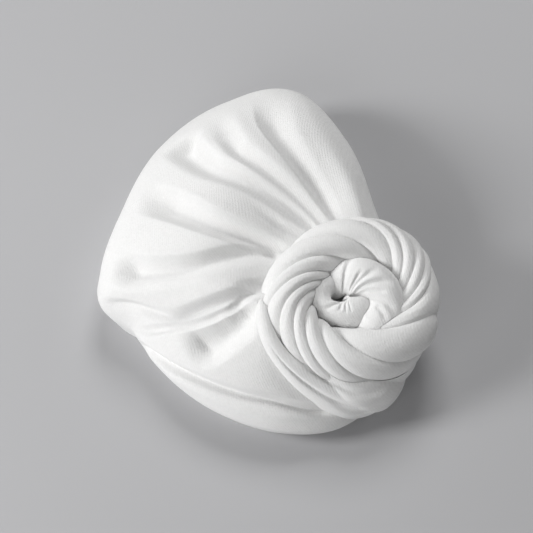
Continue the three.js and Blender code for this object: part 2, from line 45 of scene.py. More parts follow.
# Sizes are in millimetres, and bearings in degrees round the gather point, from the front (-Y),
# anticlockwise from above.
MM = 0.001
GATHER_POINT = np.array([4.61, -53.70, 0.0])
CAP_REACH = 155.0
CROWN_HEIGHT = 56.0
COLLAR_HEIGHT = 43.0
GATHER_HEIGHT = 28.0
CAP_WALL = 1.8
COLLAR_PLACE, CREST_PLACE, SHOULDER_PLACE = 0.26, 0.58, 0.88
MERIDIAN_END = 5.0
RIM_BLEND_START = 4.5
PROBE = 0.01
UP = np.array([0.0, 0.0, 1.0])
FRONT = np.array([0.0, -1.0, 0.0])

# Meridians of the cap. reach is a share of CAP_REACH, collar of COLLAR_HEIGHT, the other heights
# of CROWN_HEIGHT, and rim a share of the row's own reach.
CAP_SECTIONS = [
    dict(bearing=0, reach=0.219, collar=0.395, crest=0.25, shoulder=0.214, bulge=0.143, rim=0.9),
    dict(bearing=30, reach=0.213, collar=0.442, crest=0.286, shoulder=0.232, bulge=0.143, rim=0.9),
    dict(bearing=60, reach=0.232, collar=0.628, crest=0.464, shoulder=0.375, bulge=0.214, rim=0.9),
    dict(bearing=90, reach=0.258, collar=0.721, crest=0.571, shoulder=0.482, bulge=0.304, rim=0.92),
    dict(bearing=115, reach=0.335, collar=0.791, crest=0.679, shoulder=0.571, bulge=0.357, rim=0.94),
    dict(bearing=128, reach=0.455, collar=0.86, crest=0.786, shoulder=0.661, bulge=0.393, rim=0.95),
    dict(bearing=139, reach=0.72, collar=0.93, crest=0.893, shoulder=0.732, bulge=0.411, rim=0.955),
    dict(bearing=150, reach=0.987, collar=0.977, crest=0.964, shoulder=0.75, bulge=0.411, rim=0.96),
    dict(bearing=165, reach=1.01, collar=1.0, crest=1.0, shoulder=0.75, bulge=0.393, rim=0.96),
    dict(bearing=182, reach=0.955, collar=1.0, crest=1.0, shoulder=0.75, bulge=0.393, rim=0.96),
    dict(bearing=200, reach=0.865, collar=0.977, crest=0.964, shoulder=0.732, bulge=0.393, rim=0.95),
    dict(bearing=217, reach=0.822, collar=0.953, crest=0.893, shoulder=0.679, bulge=0.375, rim=0.94),
    dict(bearing=225, reach=0.796, collar=0.93, crest=0.857, shoulder=0.643, bulge=0.339, rim=0.93),
    dict(bearing=230, reach=0.698, collar=0.919, crest=0.832, shoulder=0.608, bulge=0.304, rim=0.935),
    dict(bearing=234, reach=0.668, collar=0.907, crest=0.804, shoulder=0.571, bulge=0.268, rim=0.94),
    dict(bearing=250, reach=0.582, collar=0.86, crest=0.732, shoulder=0.536, bulge=0.25, rim=0.93),
    dict(bearing=270, reach=0.495, collar=0.814, crest=0.661, shoulder=0.482, bulge=0.232, rim=0.92),
    dict(bearing=290, reach=0.427, collar=0.698, crest=0.518, shoulder=0.393, bulge=0.214, rim=0.91),
    dict(bearing=310, reach=0.362, collar=0.558, crest=0.393, shoulder=0.304, bulge=0.179, rim=0.9),
    dict(bearing=322, reach=0.315, collar=0.465, crest=0.304, shoulder=0.25, bulge=0.161, rim=0.9),
    dict(bearing=337, reach=0.255, collar=0.395, crest=0.25, shoulder=0.214, bulge=0.143, rim=0.9),
]

# Folds that fan out from the rosette, by the line that the eye follows, through places given as a
# bearing and a share of the way from the gather point to the rim. With edge above 0 that line is
# the crest, up to 1 for a sharp one, and the valley lies beside it towards smaller bearings. Below
# 0 it is the valley, down to -1. Lengths are in millimetres, beside the rosette and at the far end:
# depth, the width of the steep side and that of the gentle side. A fold begins over the share
# `rise` of its length and ends over `fall`.
FOLDS = [
    dict(
        line=[
            (144, 0.2), (151, 0.24), (156, 0.28), (160.5, 0.35),
            (163.5, 0.44), (164.8, 0.52), (164, 0.6), (160, 0.75),
        ],
        depth=(1.6, 5.0), steep=(2.6, 9.0), gentle=(4.0, 15.0), edge=1.0, rise=0.05, fall=0.18,
    ),
    dict(
        line=[(155, 0.2), (163, 0.24), (172, 0.36), (177.5, 0.5), (177.2, 0.59), (172.5, 0.76)],
        depth=(1.5, 4.2), steep=(3.0, 8.5), gentle=(2.5, 10.0), edge=0.4, rise=0.05, fall=0.25,
    ),
    dict(
        line=[
            (163, 0.2), (171, 0.23), (180.5, 0.34), (188, 0.48),
            (190, 0.58), (187.8, 0.71), (185.5, 0.78),
        ],
        depth=(1.5, 8.5), steep=(3.0, 16.0), gentle=(2.5, 13.0), edge=0.1, rise=0.05, fall=0.14,
    ),
    dict(
        line=[(173, 0.2), (182.6, 0.26), (186.5, 0.31), (191, 0.44)],
        depth=(1.2, 1.6), steep=(2.2, 4.0), gentle=(2.2, 5.0), edge=0.4, rise=0.05, fall=0.5,
    ),
    dict(
        line=[
            (193, 0.2), (201, 0.25), (207.2, 0.37), (208.6, 0.48),
            (206.8, 0.59), (203.6, 0.76),
        ],
        depth=(3.2, 10.0), steep=(4.5, 12.0), gentle=(3.5, 11.0), edge=0.4, rise=0.05, fall=0.15,
    ),
    dict(
        line=[
            (201, 0.22), (212, 0.29), (224, 0.42), (228.4, 0.52),
            (228.6, 0.63), (227.2, 0.72), (225, 0.8),
        ],
        depth=(3.4, 9.0), steep=(6.0, 14.0), gentle=(4.0, 11.0), edge=0.1, rise=0.05, fall=0.2,
    ),
    dict(
        line=[(215, 0.22), (224.5, 0.29), (233, 0.4), (236.3, 0.51), (237, 0.64), (235.6, 0.73)],
        depth=(2.4, 4.2), steep=(4.5, 7.0), gentle=(4.0, 6.0), edge=-1.0, rise=0.1, fall=0.3,
    ),
    dict(
        line=[(237, 0.66), (231, 0.74), (228.5, 0.78), (226, 0.86)],
        depth=(2.6, 2.4), steep=(6.0, 5.0), gentle=(3.0, 3.5), edge=-0.7, rise=0.3, fall=0.25,
    ),
    dict(
        line=[
            (226, 0.25), (240, 0.44), (242.7, 0.53), (242.7, 0.61),
            (240.8, 0.7), (237.5, 0.8), (235, 0.87),
        ],
        depth=(1.8, 2.8), steep=(2.2, 3.6), gentle=(2.0, 3.5), edge=1.0, rise=0.1, fall=0.22,
    ),
    dict(
        line=[(248, 0.34), (257, 0.46), (259, 0.56), (258.5, 0.66), (256, 0.76)],
        depth=(4.0, 8.0), steep=(8.0, 13.0), gentle=(10.0, 15.0), edge=0.05, rise=0.1, fall=0.25,
    ),
    dict(
        line=[
            (316, 0.71), (301.5, 0.7), (285.5, 0.69), (273, 0.72),
            (254, 0.79), (239, 0.88), (233, 0.93),
        ],
        depth=(3.6, 4.0), steep=(3.4, 4.0), gentle=(4.0, 5.0), edge=-0.9, rise=0.12, fall=0.2,
    ),
]

# Puffed ridges between the folds, in the same columns, with one half width beside the rosette and
# one at the far end.
RIDGES = [
    dict(
        line=[(215, 0.26), (229, 0.41), (232.5, 0.56), (231.2, 0.7), (228, 0.84)],
        height=1.6, near=4.0, far=6.5,
    ),
    dict(
        line=[(306, 0.73), (281, 0.77), (257, 0.82), (243, 0.88)],
        height=1.0, near=3.0, far=3.6,
    ),
    dict(
        line=[(153, 0.25), (165.5, 0.42), (168.7, 0.56), (165, 0.76)],
        height=0.8, near=2.4, far=6.0,
    ),
    dict(
        line=[(187, 0.25), (193, 0.36), (197, 0.5), (198, 0.62)],
        height=0.8, near=2.4, far=6.0,
    ),
]
RIDGE_ENDS = 0.25

# Columns of the cap's mesh: how many degrees apart they are, up to each bearing.
CAP_COLUMNS = [
    dict(until=132, step=1.6),
    dict(until=262, step=0.42),
    dict(until=330, step=0.9),
    dict(until=360, step=1.6),
]
CAP_ROWS = 150
INSIDE_ROWS = 34
LINE_POINTS = 36


def smooth_step(low, high, value):
    """0 below low, 1 above high, and an even curve between them."""
    share = np.clip((value - low) / (high - low), 0, 1)
    return share * share * (3 - 2 * share)


def outward(bearing):
    """The level direction at each bearing."""
    turn = np.radians(bearing)
    return np.stack([np.sin(turn), -np.cos(turn), np.zeros_like(turn)], -1)


def follow(rows, column, bearing, closed=False):
    """One column of a table at each bearing, on a smooth curve through its rows."""
    angles = np.array([row["bearing"] for row in rows], float)
    values = np.array([row[column] for row in rows], float)
    bearing = np.asarray(bearing, float)
    if closed:
        bearing = (bearing - angles[0]) % 360 + angles[0]
        angles = np.concatenate([angles[-2:] - 360, angles, angles[:3] + 360])
        values = np.concatenate([values[-2:], values, values[:3]])
    last = len(angles) - 1
    index = np.clip(np.searchsorted(angles, bearing, side="right") - 1, 0, last - 1)

    def slope(i):
        low, high = np.maximum(i - 1, 0), np.minimum(i + 1, last)
        return (values[high] - values[low]) / (angles[high] - angles[low])

    span = angles[index + 1] - angles[index]
    t = (bearing - angles[index]) / span
    bend = t * t * (3 - 2 * t)
    leave = span * slope(index) * t * (1 - t) ** 2
    arrive = span * slope(index + 1) * t * t * (t - 1)
    return values[index] + (values[index + 1] - values[index]) * bend + leave + arrive


def through(points, count):
    """Points on a smooth curve through a few given ones."""
    points = np.array(points, float)
    run = np.concatenate([2 * points[:1] - points[1:2], points, 2 * points[-1:] - points[-2:-1]])
    along = np.linspace(0, len(points) - 1, count)
    return catmull_rom(run, along)


def catmull_rom(run, along):
    """Points on a curve that passes through all of run but its first and last."""
    piece = np.clip(np.floor(along).astype(int), 0, run.shape[-2] - 4)
    t = (along - piece)[:, None]
    a, b, c, d = (run[..., piece + step, :] for step in range(4))
    cubic = (3 * b - 3 * c + d - a) * t**3
    return 0.5 * (2 * b + (c - a) * t + (2 * a - 5 * b + 4 * c - d) * t * t + cubic)


def meridians(bearing, along):
    """Distance from the gather point's axis, and height, on the bare cap's meridians."""
    columns = [name for name in CAP_SECTIONS[0] if name != "bearing"]
    value = {name: follow(CAP_SECTIONS, name, bearing, True) for name in columns}
    reach = CAP_REACH * value["reach"]
    collar = COLLAR_HEIGHT * value["collar"]
    places = [
        (-reach * COLLAR_PLACE, collar),
        (0 * reach, GATHER_HEIGHT + 0 * reach),
        (reach * COLLAR_PLACE, collar),
        (reach * CREST_PLACE, CROWN_HEIGHT * value["crest"]),
        (reach * SHOULDER_PLACE, CROWN_HEIGHT * value["shoulder"]),
        (reach, CROWN_HEIGHT * value["bulge"]),
        (reach * value["rim"], 0 * reach),
    ]
    run = np.stack([np.stack(place, -1) for place in places], -2)
    run = np.concatenate([run, 2 * run[:, -1:] - run[:, -2:-1]], 1)
    return catmull_rom(run, along)


def bare_cap(bearing, along):
    flat = meridians(bearing, along)
    return outward(bearing)[:, None] * flat[..., :1] + UP * flat[..., 1:]


def cap_facing(bearing, along):
    """Which way the bare cap faces. At the rim this turns level, so that the rim stays flat."""
    around = bare_cap(bearing + 1, along) - bare_cap(bearing - 1, along)
    down = bare_cap(bearing, along + PROBE) - bare_cap(bearing, along - PROBE)
    facing = np.cross(down, around)
    facing /= np.linalg.norm(facing, axis=-1, keepdims=True)
    level = smooth_step(RIM_BLEND_START, MERIDIAN_END, along)[None, :, None]
    facing = facing * (1 - level) + outward(bearing)[:, None] * level
    return facing / np.linalg.norm(facing, axis=-1, keepdims=True)


def beside(line, bearing, share, distance, length):
    """For each point of the cap: how far the line is in millimetres, where along it the nearest
    place is as a share, and on which side, -1 towards larger bearings."""
    line = through(line, LINE_POINTS)
    nearest = np.full(share.shape, np.inf)
    place = np.zeros(share.shape)
    side = np.ones(share.shape)
    for step, (start, end) in enumerate(zip(line[:-1], line[1:])):
        turn = (bearing - start[0] + 180) % 360 - 180
        x = np.radians(turn)[:, None] * distance
        y = (share - start[1]) * length
        run_x = math.radians(end[0] - start[0]) * distance
        run_y = (end[1] - start[1]) * length
        part = np.clip((x * run_x + y * run_y) / (run_x**2 + run_y**2), 0, 1)
        away = np.hypot(x - part * run_x, y - part * run_y)
        closer = away < nearest
        nearest = np.where(closer, away, nearest)
        place = np.where(closer, (step + part) / (LINE_POINTS - 1), place)
        side = np.where(closer, np.sign(run_x * y - run_y * x), side)
    return nearest, place, side


def between(pair, place):
    return pair[0] + (pair[1] - pair[0]) * place


def fold_height(bearing, share, distance, length):
    """How far the folds and ridges push the cloth out at each point of the cap."""
    height = np.zeros_like(share)
    for fold in FOLDS:
        away, place, side = beside(fold["line"], bearing, share, distance, length)
        steep_width = between(fold["steep"], place)
        from_valley = away * side - steep_width * (fold["edge"] > 0)
        steep = np.clip(-from_valley / steep_width, 0, 1)
        gentle = np.clip(from_valley / between(fold["gentle"], place), 0, 1)
        sharp = 1 - steep**2 if fold["edge"] > 0 else (1 - steep) ** 2
        steep_side = between((1 - smooth_step(0, 1, steep), sharp), abs(fold["edge"]))
        gentle_side = 1 - smooth_step(0, 1, gentle)
        ends = smooth_step(0, fold["rise"], place) * (1 - smooth_step(1 - fold["fall"], 1, place))
        slope = np.where(from_valley < 0, steep_side, gentle_side)
        height -= between(fold["depth"], place) * ends * slope
    for ridge in RIDGES:
        away, place, _ = beside(ridge["line"], bearing, share, distance, length)
        ends = smooth_step(0, RIDGE_ENDS, place) * (1 - smooth_step(1 - RIDGE_ENDS, 1, place))
        width = between((ridge["near"], ridge["far"]), place)
        height += ridge["height"] * ends * np.exp(-((away / width) ** 2))
    return height


def column_bearings():
    """Bearings of the cap's columns, closer together where the folds are."""
    bearings, start = [], 0
    for part in CAP_COLUMNS:
        count = round((part["until"] - start) / part["step"])
        bearings.append(np.linspace(start, part["until"], count, endpoint=False))
        start = part["until"]
    return np.concatenate(bearings)


def folded_cap(along, offset=0.0):
    """The folded cap's points, one column for each bearing, moved out by offset."""
    bearing = column_bearings()
    flat = meridians(bearing, np.concatenate([[0], along]))
    steps = np.linalg.norm(np.diff(flat, axis=1), axis=-1)
    length = steps.sum(1, keepdims=True)
    share = np.cumsum(steps, 1) / length
    fold = fold_height(bearing, share, flat[:, 1:, 0], length)
    return bare_cap(bearing, along) + cap_facing(bearing, along) * (fold + offset)[..., None]


def closed_skin(loops, ends=None, shift=0):
    """Points and faces of a closed skin over a run of loops, closed by a point at each end, or,
    without ends, by joining each loop's end to the start of the one `shift` places on."""
    count, sides = loops.shape[:2]
    points = loops.reshape(-1, 3)
    loop, side = np.meshgrid(np.arange(count - 1 if ends else count), np.arange(sides), indexing="ij")

    def at(loop, side):
        place = (loop + np.where(side < sides, 0, shift)) % count
        return place * sides + side % sides

    corners = [at(loop, side), at(loop + 1, side), at(loop + 1, side + 1), at(loop, side + 1)]
    quads = np.stack(corners, -1)
    faces = quads.reshape(-1, 4).tolist()
    if ends:
        first = len(points)
        points = np.concatenate([points, ends])
        around = np.arange(sides)
        faces += np.stack([np.full(sides, first), at(0, around), at(0, around + 1)], -1).tolist()
        finish = np.full(sides, first + 1)
        faces += np.stack([finish, at(count - 1, around + 1), at(count - 1, around)], -1).tolist()
    return points, faces


def cloth_object(name, skin):
    """A smooth mesh object from points in millimetres round the gather point, facing outwards."""
    points, faces = skin
    mesh = bpy.data.meshes.new(name)
    mesh.from_pydata(((points + GATHER_POINT) * MM).tolist(), [], faces)
    mesh.validate()
    corners = [points[[face[0], face[1], face[2]]] for face in faces]
    corners += [points[[face[0], face[2], face[3]]] for face in faces if len(face) == 4]
    a, b, c = np.array(corners).transpose(1, 0, 2)
    if (a * np.cross(b, c)).sum() < 0:
        mesh.flip_normals()
    mesh.shade_smooth()
    piece = bpy.data.objects.new(name, mesh)
    bpy.context.scene.collection.objects.link(piece)
    return piece


# Shares of each pattern in the cloth's relief, and in the shade between its fibres.
NAP_RELIEF, WALE_RELIEF, FUZZ_RELIEF = 0.7, 0.28, 1.1
FUZZ_SHADE, WALE_SHADE, PATCH_SHADE = 0.75, 0.15, 0.25
RELIEF_STRENGTH, RELIEF_DEPTH = 0.6, 0.4
DARKEST_FIBRE = 0.82
WAVE_SCALE_FOR_PITCH = 0.314


def brushed_jersey(name, colour, wale_pitch, turn):
    """White brushed cotton jersey: fine wales, turned to slant, under a short nap."""
    material = bpy.data.materials.new(name)
    material.use_nodes = True
    nodes, links = material.node_tree.nodes, material.node_tree.links
    shader = nodes["Principled BSDF"]
    shader.inputs["Roughness"].default_value = 0.92
    shader.inputs["Sheen Weight"].default_value = 0.25
    shader.inputs["Sheen Roughness"].default_value = 0.6
    shader.inputs["Specular IOR Level"].default_value = 0.2

    place = nodes.new("ShaderNodeTexCoord")
    mapping = nodes.new("ShaderNodeMapping")
    mapping.inputs["Rotation"].default_value = tuple(math.radians(angle) for angle in turn)
    links.new(place.outputs["Object"], mapping.inputs["Vector"])

    def texture(kind, **settings):
        node = nodes.new(kind)
        links.new(mapping.outputs["Vector"], node.inputs["Vector"])
        for key, value in settings.items():
            node.inputs[key].default_value = value
        return node

    nap = texture("ShaderNodeTexNoise", Scale=2600, Detail=3, Roughness=0.6)
    fuzz = texture("ShaderNodeTexNoise", Scale=800, Detail=4, Roughness=0.6)
    patches = texture("ShaderNodeTexNoise", Scale=55, Detail=3, Roughness=0.5)
    wales = texture("ShaderNodeTexWave", Scale=WAVE_SCALE_FOR_PITCH / (wale_pitch * MM), Distortion=1.2)
    wales.inputs["Detail Scale"].default_value = 60
    wales.bands_direction = "X"

    def mixed(first, first_share, second, second_share):
        total = nodes.new("ShaderNodeMath")
        total.operation = "MULTIPLY_ADD"
        links.new(first, total.inputs[0])
        total.inputs[1].default_value = first_share
        part = nodes.new("ShaderNodeMath")
        part.operation = "MULTIPLY"
        links.new(second, part.inputs[0])
        part.inputs[1].default_value = second_share
        links.new(part.outputs[0], total.inputs[2])
        return total.outputs[0]

    relief = mixed(nap.outputs["Fac"], NAP_RELIEF, wales.outputs["Fac"], WALE_RELIEF)
    relief = mixed(relief, 1.0, fuzz.outputs["Fac"], FUZZ_RELIEF)
    bump = nodes.new("ShaderNodeBump")
    bump.inputs["Strength"].default_value = RELIEF_STRENGTH
    bump.inputs["Distance"].default_value = RELIEF_DEPTH * MM
    links.new(relief, bump.inputs["Height"])
    links.new(bump.outputs["Normal"], shader.inputs["Normal"])

    shade = mixed(fuzz.outputs["Fac"], FUZZ_SHADE, wales.outputs["Fac"], WALE_SHADE)
    shade = mixed(shade, 1.0, patches.outputs["Fac"], PATCH_SHADE)
    tint = nodes.new("ShaderNodeMix")
    tint.data_type = "RGBA"
    links.new(shade, tint.inputs["Factor"])
    tint.inputs["A"].default_value = (*[DARKEST_FIBRE * part for part in colour], 1)
    tint.inputs["B"].default_value = (*colour, 1)
    links.new(tint.outputs["Result"], shader.inputs["Base Color"])
    return material


JERSEY_COLOUR = (0.89, 0.888, 0.882)
WALE_PITCH = 1.0
WALE_TURN = (18, 32, 40)
jersey = brushed_jersey("brushed_jersey", JERSEY_COLOUR, WALE_PITCH, WALE_TURN)

outside_rows = (np.arange(CAP_ROWS) + 1) * MERIDIAN_END / CAP_ROWS
inside_rows = (np.arange(INSIDE_ROWS) + 1) * MERIDIAN_END / INSIDE_ROWS
outside = folded_cap(outside_rows)
inside = folded_cap(inside_rows, -CAP_WALL)
cap_loops = np.concatenate([outside.transpose(1, 0, 2), inside.transpose(1, 0, 2)[::-1]])
gather_top, gather_bottom = UP * GATHER_HEIGHT, UP * (GATHER_HEIGHT - CAP_WALL)
cap = cloth_object("jersey_cap", closed_skin(cap_loops, [gather_top, gather_bottom]))
cap.data.materials.append(jersey)
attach(cap, "root")
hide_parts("cap")

# The outer coil: a long strip of the same jersey, rolled and twisted so that its edges run round
# it as slanting strands, and closed into a ring over the gather. It leans towards the front and
# is sewn down underneath.
RING_RADIUS = 30.0
RING_TUBE = 13.5
RING_LEAN = 13.0
RING_LEAN_BEARING = -12.0
RING_SINK = 9.0
STRAND_RISE = 2.1
GAP = 0.3
CUT_EDGE_ANGLE = 50.0

# The ring's centre line and tube, shares of RING_RADIUS and RING_TUBE.
RING_SECTIONS = [
    dict(bearing=0, radius=0.915, tube=1.007),
    dict(bearing=20, radius=0.93, tube=0.978),
    dict(bearing=45, radius=0.98, tube=0.963),
    dict(bearing=70, radius=1.035, tube=0.963),
    dict(bearing=90, radius=1.12, tube=0.978),
    dict(bearing=110, radius=1.14, tube=0.978),
    dict(bearing=130, radius=1.085, tube=0.985),
    dict(bearing=150, radius=1.01, tube=0.993),
    dict(bearing=175, radius=0.94, tube=0.963),
    dict(bearing=200, radius=0.927, tube=0.963),
    dict(bearing=220, radius=0.973, tube=0.978),
    dict(bearing=245, radius=1.06, tube=1),
    dict(bearing=270, radius=1.05, tube=0.98),
    dict(bearing=300, radius=0.99, tube=0.98),
    dict(bearing=330, radius=0.925, tube=1.022),
]

# Creases between the strands, by the bearing where each crosses the tube's outer side, its top
# and its inner side. rise is the height of the strand that follows, a share of STRAND_RISE.
RING_CREASES = [
    dict(outer=15, top=-42, inner=-75, rise=1.1),
    dict(outer=42, top=17, inner=-38, rise=0.75),
    dict(outer=90, top=43, inner=3, rise=0.67),
    dict(outer=98, top=59, inner=22, rise=0.67),
    dict(outer=122, top=77, inner=40, rise=0.75),
    dict(outer=145, top=98, inner=60, rise=0.75),
    dict(outer=160, top=114, inner=83, rise=0.9),
    dict(outer=192, top=150, inner=105, rise=1.1),
    dict(outer=243, top=190, inner=145, rise=0.75),
    dict(outer=252, top=215, inner=180, rise=0.75),
    dict(outer=280, top=235, inner=198, rise=0.75),
    dict(outer=300, top=254, inner=215, rise=0.75),
    dict(outer=318, top=270, inner=242, rise=0.83),
    dict(outer=338, top=290, inner=265, rise=1.0),
]
TOP_ANGLE = 90.0
INNER_ANGLE = 150.0
SHOWN_FROM, SHOWN_TO = -40.0, 190.0
HIDDEN_EDGE = 45.0
STRAND_COLUMNS = 24
RING_SIDES = 190
PLUMP = 2.8
RIPPLE = 0.08
RIPPLES = 2
WANDER_ROUND_TUBE, WANDER_ROUND_RING = 2, 5


def leaning_frame(lean, lean_bearing):
    """Axis, front and side of a ring that leans towards a bearing."""
    axis = outward(lean_bearing) * math.sin(math.radians(lean)) + UP * math.cos(math.radians(lean))
    front = FRONT - axis * (FRONT @ axis)
    front /= np.linalg.norm(front)
    return axis, front, np.cross(axis, front)


def crease_bearings(creases, angle):
    """Bearing of each crease at each angle round the tube's section: creases by angles."""
    places = ("outer", "top", "inner")
    outer, top, inner = (np.array([[row[name]] for row in creases], float) for name in places)
    outer_share = (angle - TOP_ANGLE) * (angle - INNER_ANGLE) / (TOP_ANGLE * INNER_ANGLE)
    top_share = angle * (INNER_ANGLE - angle) / (TOP_ANGLE * (INNER_ANGLE - TOP_ANGLE))
    curve = outer * outer_share + top * top_share + inner * (1 - outer_share - top_share)
    below = outer + (top - outer) * angle / TOP_ANGLE
    beyond = inner + (inner - top) * (angle - INNER_ANGLE) / (INNER_ANGLE - TOP_ANGLE)
    return np.where(angle < 0, below, np.where(angle > INNER_ANGLE, beyond, curve))


def shown_share(angle):
    """How much of a strand's height shows at an angle: all of it above, none underneath."""
    from_below = smooth_step(SHOWN_FROM - HIDDEN_EDGE, SHOWN_FROM, angle)
    return from_below * (1 - smooth_step(SHOWN_TO, SHOWN_TO + HIDDEN_EDGE, angle))


def tube_points(centre, frame_of_ring, bearing, angle, radius, thickness, lift=0.0):
    """Points of a tube round a centre: radius and lift place its centre line."""
    axis, front, side = frame_of_ring
    turn = np.radians(bearing)[..., None]
    outside = front * np.cos(turn) + side * np.sin(turn)
    across = radius + thickness * np.cos(np.radians(angle))
    above = lift + thickness * np.sin(np.radians(angle))
    return centre + outside * across[..., None] + axis * above[..., None]


def cut_away(piece, cutters):
    """Cuts what a piece lies against out of it, and drops the specks that this leaves."""
    for cutter in cutters:
        cut = piece.modifiers.new("cut", "BOOLEAN")
        cut.operation = "DIFFERENCE"
        cut.solver = "MANIFOLD"
        cut.object = cutter
    evaluated = piece.evaluated_get(bpy.context.evaluated_depsgraph_get())
    mesh = bpy.data.meshes.new_from_object(evaluated)
    piece.modifiers.clear()
    piece.data = mesh
    mesh.materials.clear()
    ends = np.empty(len(mesh.edges) * 2, int)
    mesh.edges.foreach_get("vertices", ends)
    start, end = ends.reshape(-1, 2).T
    island, before = np.arange(len(mesh.vertices)), None
    while before is None or (island != before).any():
        before = island.copy()
        lowest = np.minimum(island[start], island[end])
        np.minimum.at(island, start, lowest)
        np.minimum.at(island, end, lowest)
        island = island[island]
    main = np.bincount(island).argmax()
    body = bmesh.new()
    body.from_mesh(mesh)
    specks = [vertex for vertex in body.verts if island[vertex.index] != main]
    bmesh.ops.delete(body, geom=specks, context="VERTS")
    body.to_mesh(mesh)
    body.free()
    mesh.shade_smooth()
    mesh.set_sharp_from_angle(angle=math.radians(CUT_EDGE_ANGLE))


filled_loops = folded_cap(outside_rows, GAP).transpose(1, 0, 2)
under_cap = cloth_object("under_cap", closed_skin(filled_loops, [UP * (GATHER_HEIGHT + GAP), 0 * UP]))
ring_frame = leaning_frame(RING_LEAN, RING_LEAN_BEARING)
ring_centre = UP * (COLLAR_HEIGHT - RING_SINK)


def ring_skin(grow=0.0):
    """The ring's skin. Its columns run along the strands, so that each crease is a sharp valley."""
    angle = SHOWN_TO - 360 + np.arange(RING_SIDES) * 360 / RING_SIDES
    lines = crease_bearings(RING_CREASES, np.maximum(angle, SHOWN_FROM - HIDDEN_EDGE))
    lines = np.concatenate([lines, lines[:1] + 360])
    across = np.arange(STRAND_COLUMNS) / STRAND_COLUMNS
    start, end = lines[:-1, None], lines[1:, None]
    bearing = (start + (end - start) * across[None, :, None]).reshape(-1, RING_SIDES)
    columns = len(bearing)
    last = crease_bearings(RING_CREASES, np.array([SHOWN_TO]))
    last = np.concatenate([last, last[:1] + 360])
    closing = (last[:-1] + (last[1:] - last[:-1]) * across).reshape(-1)
    shift = round(columns * (bearing[:, 0].mean() - closing.mean()) / 360)
    shifted = np.arange(columns) + shift
    meet = closing[shifted % columns] + 360 * (shifted // columns)
    blend = 1 - smooth_step(SHOWN_TO - 360, SHOWN_FROM - HIDDEN_EDGE, angle)
    bearing = bearing * (1 - blend) + meet[:, None] * blend
    rise = np.repeat([row["rise"] for row in RING_CREASES], STRAND_COLUMNS)[:, None]
    puff = 1 - np.abs(2 * np.tile(across, len(RING_CREASES)) - 1)[:, None] ** PLUMP
    wander = np.sin(np.radians(WANDER_ROUND_TUBE * angle) + np.radians(WANDER_ROUND_RING * bearing))
    over_strand = np.tile(across, len(RING_CREASES))[:, None]
    ripple = RIPPLE * np.cos(2 * math.pi * RIPPLES * over_strand + wander)
    strand = (STRAND_RISE * rise + ripple) * puff * shown_share(angle)
    radius = RING_RADIUS * follow(RING_SECTIONS, "radius", bearing, True)
    tube = RING_TUBE * follow(RING_SECTIONS, "tube", bearing, True) - STRAND_RISE / 2 + grow
    points = tube_points(ring_centre, ring_frame, bearing, angle, radius, tube + strand)
    return closed_skin(points, shift=-shift)


outer_coil = cloth_object("twisted_ring", ring_skin())
cut_away(outer_coil, [under_cap])
around_ring = cloth_object("around_ring", ring_skin(GAP))
outer_coil.data.materials.append(jersey)
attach(outer_coil, "root")
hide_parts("outer_coil")

# The inner coil: the strip goes on inside the ring for most of one more turn, higher than the
# ring's own hole, and thins out as it dives to the middle.
HOLE_SIDE, HOLE_FRONT, HOLE_UP = -2.0, -1.5, 4.0
COIL_RADIUS = 16.0
COIL_TUBE = 9.5
COIL_SECTIONS = [
    dict(bearing=-25, radius=1.06, tube=0.63, lift=-0.1),
    dict(bearing=0, radius=1.12, tube=0.89, lift=0),
    dict(bearing=30, radius=1.16, tube=0.97, lift=0.13),
    dict(bearing=60, radius=1.05, tube=1.08, lift=0.14),
    dict(bearing=90, radius=0.89, tube=1.16, lift=0.06),
    dict(bearing=120, radius=0.8, tube=1.11, lift=-0.04),
    dict(bearing=150, radius=0.75, tube=0.89, lift=-0.16),
    dict(bearing=180, radius=0.66, tube=0.68, lift=-0.42),
    dict(bearing=205, radius=0.63, tube=0.42, lift=-0.74),
]

# Wrinkles across the coil, each along a line of bearings and angles round its section. depth and
# width are in millimetres.
COIL_WRINKLES = [
    dict(line=[(132, 20), (146, 85), (172, 170)], depth=1.7, width=1.5),
    dict(line=[(112, 84), (118, 120), (132, 165)], depth=1.3, width=1.7),
    dict(line=[(90, 60), (100, 108), (118, 165)], depth=1.5, width=2.1),
    dict(line=[(62, 56), (74, 106), (94, 170)], depth=1.5, width=2.1),
    dict(line=[(48, 88), (56, 122), (70, 165)], depth=0.9, width=1.3),
    dict(line=[(24, 44), (34, 98), (48, 165)], depth=1.4, width=1.9),
    dict(line=[(10, 62), (16, 92), (25, 130)], depth=0.9, width=1.3),
]
WRINKLE_STARTED, WRINKLE_ENDING = 0.4, 0.8
CRESCENT_STEPS = 340
CRESCENT_SIDES = 150
END_SHARE = 0.09


def strand_height(creases, bearing, angle):
    """How far the strands of an open tube stand up at each bearing and angle."""
    shown = np.clip(angle, SHOWN_FROM - HIDDEN_EDGE, SHOWN_TO + HIDDEN_EDGE)
    lines = crease_bearings(creases, shown)
    height = np.zeros((len(bearing), len(angle)))
    for row, start, end in zip(creases, lines[:-1], lines[1:]):
        across = (bearing[:, None] - start) / (end - start)
        puff = 1 - np.abs(2 * np.clip(across, 0, 1) - 1) ** PLUMP
        height += np.where((across >= 0) & (across < 1), row["rise"] * puff, 0)
    return STRAND_RISE * height * shown_share(angle)


def wrinkle_height(wrinkles, bearing, angle, radius, tube):
    """How far the wrinkles of an open tube sink in at each bearing and angle."""
    share = np.tile((angle % 360) / 360, (len(bearing), 1))
    height = np.zeros_like(share)
    for row in wrinkles:
        line = [(turn, part / 360) for turn, part in row["line"]]
        away, place, _ = beside(line, bearing, share, radius, 2 * math.pi * tube)
        ends = smooth_step(0, WRINKLE_STARTED, place) * (1 - smooth_step(WRINKLE_ENDING, 1, place))
        height -= row["depth"] * ends * np.exp(-((away / row["width"]) ** 2))
    return height


